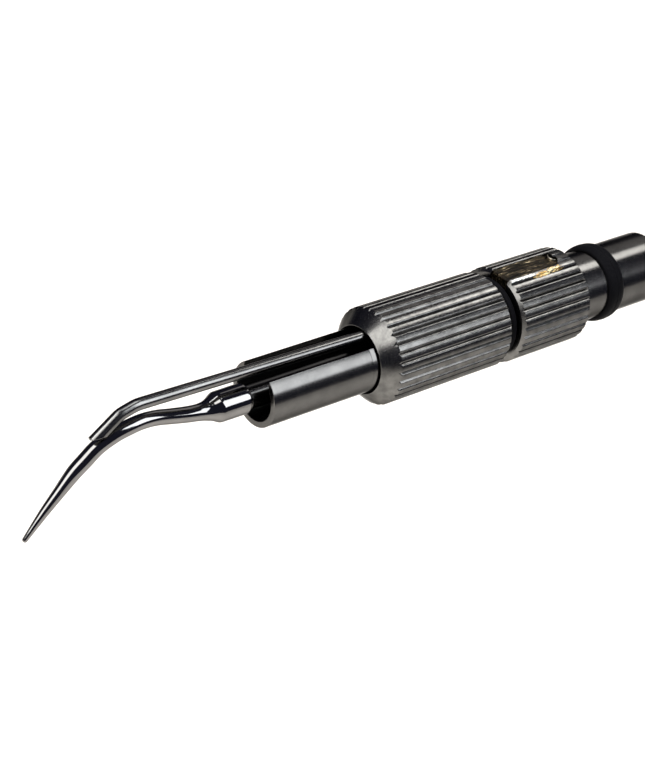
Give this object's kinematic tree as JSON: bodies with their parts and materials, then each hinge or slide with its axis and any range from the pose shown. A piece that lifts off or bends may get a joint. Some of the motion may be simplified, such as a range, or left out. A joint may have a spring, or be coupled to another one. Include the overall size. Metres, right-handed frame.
{
  "type": "ultrasonic scaler insert",
  "caption": "Ultrasonic dental scaler insert: curved steel tip, external water tube, slotted nose sleeve, knurled screw collar, grip ring, rubber seals and nickel stack.",
  "frame": {"origin": "on the insert's long axis, in the seat plane at the rear face of the rear grip ring, where the insert enters its handpiece", "axes": "+X along the insert towards the nickel stack, so the tip points to -X; +Z through the slot and the water tube; the tip curves down to -Z"},
  "size_m": [0.1523, 0.012, 0.0156],
  "materials": {
    "polished_steel": "mirror polished stainless steel",
    "drawn_steel": "drawn stainless tube, finely brushed along its length",
    "satin_steel": "fine turned satin stainless steel",
    "knurled_steel": "straight knurled stainless steel, satin",
    "black_rubber": "matt black nitrile rubber",
    "nickel": "rolled nickel strip",
    "silver_braze": "silver brazing metal, ground",
    "gold_braze": "heat-tinted brazing metal with gold specks"
  },
  "bodies": {
    "barrel": {"barrel": "satin_steel", "rear_grip_ring": "knurled_steel", "braze_fill": "gold_braze", "water_tube": "drawn_steel", "nose_sleeve": "satin_steel", "collar_seal": "black_rubber", "handpiece_seal": "black_rubber", "retaining_clip": "satin_steel", "locking_pin": "satin_steel"},
    "thrust_washer": {"thrust_washer": "satin_steel"},
    "collar": {"front_collar": "knurled_steel"},
    "vibrator": {"connecting_body": "satin_steel", "scaler_tip": "polished_steel", "inner_seal_front": "black_rubber", "inner_seal_rear": "black_rubber", "stack_front_cap": "silver_braze", "stack_rear_cap": "silver_braze", "nickel_strip_01": "nickel", "nickel_strip_02": "nickel", "nickel_strip_03": "nickel", "nickel_strip_04": "nickel", "nickel_strip_05": "nickel", "nickel_strip_06": "nickel", "nickel_strip_07": "nickel", "nickel_strip_08": "nickel", "nickel_strip_09": "nickel", "nickel_strip_10": "nickel", "nickel_strip_11": "nickel", "nickel_strip_12": "nickel"}
  },
  "joints": [
    {"name": "collar_travel", "type": "slide", "parent": "barrel", "child": "thrust_washer", "axis": [-1, 0, 0], "range_m": [0, 0.003]},
    {"name": "collar_turn", "type": "hinge", "parent": "thrust_washer", "child": "collar", "pos_m": [-0.0226, 0, 0], "axis": [-1, 0, 0], "range_deg": [0, 2160]},
    {"name": "ultrasonic_stroke", "type": "slide", "parent": "barrel", "child": "vibrator", "axis": [1, 0, 0], "range_m": [-0.00005, 0.00005], "stiffness_N_per_m": 2000}
  ],
  "couplings": [
    {"joint": "collar_travel", "follows": "collar_turn", "m_per_rad": 0.000079577}
  ]
}
